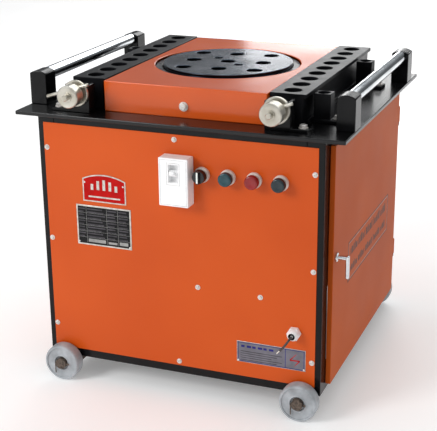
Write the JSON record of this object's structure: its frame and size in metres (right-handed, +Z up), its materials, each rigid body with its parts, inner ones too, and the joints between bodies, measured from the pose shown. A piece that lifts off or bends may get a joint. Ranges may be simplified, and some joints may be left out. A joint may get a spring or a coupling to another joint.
{
  "type": "rebar bender",
  "caption": "Wheeled electric rebar bender: orange cabinet, black table, turning disc with pin holes, sliding hole bars, guide rollers and a side door.",
  "frame": {"origin": "on the floor under the middle of the whole machine", "axes": "+X to the right of someone at the control panel, +Y away from them to the back, +Z up"},
  "size_m": [0.874, 0.8424, 0.828],
  "materials": {
    "orange_paint": "gloss",
    "black_paint": "gloss",
    "disc_steel": "machined, oiled",
    "shaft_steel": "turned",
    "zinc_steel": "zinc plated",
    "chrome": "polished",
    "wheel_paint": "satin",
    "axle_steel": "oxidised",
    "gearbox_iron": "cast",
    "motor_paint": "satin",
    "belt_rubber": "matte",
    "white_plastic": "gloss",
    "black_plastic": "satin",
    "green_plastic": "gloss",
    "red_plastic": "gloss",
    "cable_sheath": "matte",
    "core_plastic": "gloss",
    "badge_red": "gloss",
    "plate_aluminium": "printed",
    "tray_paint": "satin"
  },
  "bodies": {
    "machine_frame": {"badge": "badge_red", "bar_guides": "black_paint", "breaker_box": "white_plastic", "cable_cores": "core_plastic", "cable_gland": "white_plastic", "contactor_tray": "tray_paint", "control_bezels": "white_plastic", "cover_box": "orange_paint", "drive_belts": "belt_rubber", "front_panel": "orange_paint", "gearbox_housing": "gearbox_iron", "info_plates": "plate_aluminium", "motor_base": "black_paint", "motor_body": "motor_paint", "panel_fasteners": "zinc_steel", "pin_seats": "black_paint", "post_front_left": "black_paint", "post_front_right": "black_paint", "post_rear_left": "black_paint", "post_rear_right": "black_paint", "rail_bottom_front": "black_paint", "rail_bottom_left": "black_paint", "rail_bottom_rear": "black_paint", "rail_bottom_right": "black_paint", "rails_top": "black_paint", "rear_panel": "orange_paint", "roller_bracket_front_left": "black_paint", "roller_bracket_front_right": "black_paint", "roller_bracket_rear_left": "black_paint", "roller_bracket_rear_right": "black_paint", "screw_bracket_left": "black_paint", "screw_bracket_right": "black_paint", "side_cover_left": "orange_paint", "split_pins": "axle_steel", "supply_cable": "cable_sheath", "table_bolts": "zinc_steel", "table_plate": "black_paint", "turntable_housing": "black_paint", "wheel_axles": "axle_steel"},
    "turntable": {"working_disc": "disc_steel", "main_shaft": "shaft_steel"},
    "input_wheel": {"input_pulley": "gearbox_iron"},
    "motor_wheel": {"motor_pulley": "gearbox_iron"},
    "bar_left": {"hole_bar_left": "black_paint"},
    "bar_right": {"hole_bar_right": "black_paint"},
    "screw_left": {"adjusting_screw_left": "zinc_steel"},
    "screw_right": {"adjusting_screw_right": "zinc_steel"},
    "left_roller": {"roller_left": "chrome"},
    "right_roller": {"roller_right": "chrome"},
    "front_left_wheel": {"wheel_front_left": "wheel_paint"},
    "front_right_wheel": {"wheel_front_right": "wheel_paint"},
    "rear_left_wheel": {"wheel_rear_left": "wheel_paint"},
    "rear_right_wheel": {"wheel_rear_right": "wheel_paint"},
    "door": {"door_right": "orange_paint"},
    "latch": {"door_latch": "chrome"},
    "start_button": {"button_green": "green_plastic"},
    "stop_button": {"button_red": "red_plastic"},
    "jog_button": {"button_black": "black_plastic"},
    "selector": {"selector_knob": "black_plastic"},
    "toggle": {"breaker_toggle": "white_plastic"}
  },
  "joints": [
    {"name": "input_spin", "type": "hinge", "parent": "machine_frame", "child": "input_wheel", "pos_m": [-0.235, -0.09925, 0.565], "axis": [1, 0, 0], "continuous": true},
    {"name": "disc_spin", "type": "hinge", "parent": "machine_frame", "child": "turntable", "pos_m": [0, -0.00425, 0.8], "axis": [0, 0, 1], "continuous": true},
    {"name": "motor_spin", "type": "hinge", "parent": "machine_frame", "child": "motor_wheel", "pos_m": [-0.235, -0.09925, 0.186], "axis": [1, 0, 0], "continuous": true},
    {"name": "screw_left_turn", "type": "hinge", "parent": "machine_frame", "child": "screw_left", "pos_m": [-0.275, -0.35625, 0.791], "axis": [0, 1, 0], "range_deg": [-25, 215]},
    {"name": "screw_right_turn", "type": "hinge", "parent": "machine_frame", "child": "screw_right", "pos_m": [0.258, -0.35625, 0.791], "axis": [0, 1, 0], "range_deg": [-900.1, 900.1]},
    {"name": "bar_left_slide", "type": "slide", "parent": "machine_frame", "child": "bar_left", "axis": [0, 1, 0], "range_m": [-0.00358, 0.00041]},
    {"name": "bar_right_slide", "type": "slide", "parent": "machine_frame", "child": "bar_right", "axis": [0, 1, 0], "range_m": [-0.015, 0.015]},
    {"name": "roller_left_spin", "type": "hinge", "parent": "machine_frame", "child": "left_roller", "pos_m": [-0.413, 0.00375, 0.811], "axis": [0, 1, 0], "continuous": true},
    {"name": "roller_right_spin", "type": "hinge", "parent": "machine_frame", "child": "right_roller", "pos_m": [0.413, 0.00375, 0.811], "axis": [0, 1, 0], "continuous": true},
    {"name": "wheel_front_left_spin", "type": "hinge", "parent": "machine_frame", "child": "front_left_wheel", "pos_m": [-0.335, -0.39625, 0.05], "axis": [0, 1, 0], "continuous": true},
    {"name": "wheel_front_right_spin", "type": "hinge", "parent": "machine_frame", "child": "front_right_wheel", "pos_m": [0.335, -0.39625, 0.05], "axis": [0, 1, 0], "continuous": true},
    {"name": "wheel_rear_left_spin", "type": "hinge", "parent": "machine_frame", "child": "rear_left_wheel", "pos_m": [-0.335, 0.40375, 0.05], "axis": [0, 1, 0], "continuous": true},
    {"name": "wheel_rear_right_spin", "type": "hinge", "parent": "machine_frame", "child": "rear_right_wheel", "pos_m": [0.335, 0.40375, 0.05], "axis": [0, 1, 0], "continuous": true},
    {"name": "door_swing", "type": "hinge", "parent": "machine_frame", "child": "door", "pos_m": [0.3908, 0.35125, 0.4], "axis": [0, 0, 1], "range_deg": [0, 110]},
    {"name": "latch_turn", "type": "hinge", "parent": "door", "child": "latch", "pos_m": [0.41, -0.30275, 0.418], "axis": [1, 0, 0], "range_deg": [0, 90]},
    {"name": "button_green_press", "type": "slide", "parent": "machine_frame", "child": "start_button", "axis": [0, 1, 0], "range_m": [0, 0.005], "stiffness_N_per_m": 400, "springref_m": -0.002},
    {"name": "button_red_press", "type": "slide", "parent": "machine_frame", "child": "stop_button", "axis": [0, 1, 0], "range_m": [0, 0.005], "stiffness_N_per_m": 400, "springref_m": -0.002},
    {"name": "button_black_press", "type": "slide", "parent": "machine_frame", "child": "jog_button", "axis": [0, 1, 0], "range_m": [0, 0.005], "stiffness_N_per_m": 400, "springref_m": -0.002},
    {"name": "selector_turn", "type": "hinge", "parent": "machine_frame", "child": "selector", "pos_m": [0.071, -0.37625, 0.617], "axis": [0, 1, 0], "range_deg": [-45, 45]},
    {"name": "toggle_turn", "type": "hinge", "parent": "machine_frame", "child": "toggle", "pos_m": [0.009, -0.40075, 0.622], "axis": [1, 0, 0], "range_deg": [0, 30]}
  ],
  "couplings": [
    {"joint": "disc_spin", "follows": "input_spin", "ratio": 0.016667},
    {"joint": "motor_spin", "follows": "input_spin", "ratio": 2.5556},
    {"joint": "screw_left_turn", "follows": "bar_left_slide", "rad_per_m": -1047.2},
    {"joint": "screw_right_turn", "follows": "bar_right_slide", "rad_per_m": -1047.2}
  ]
}
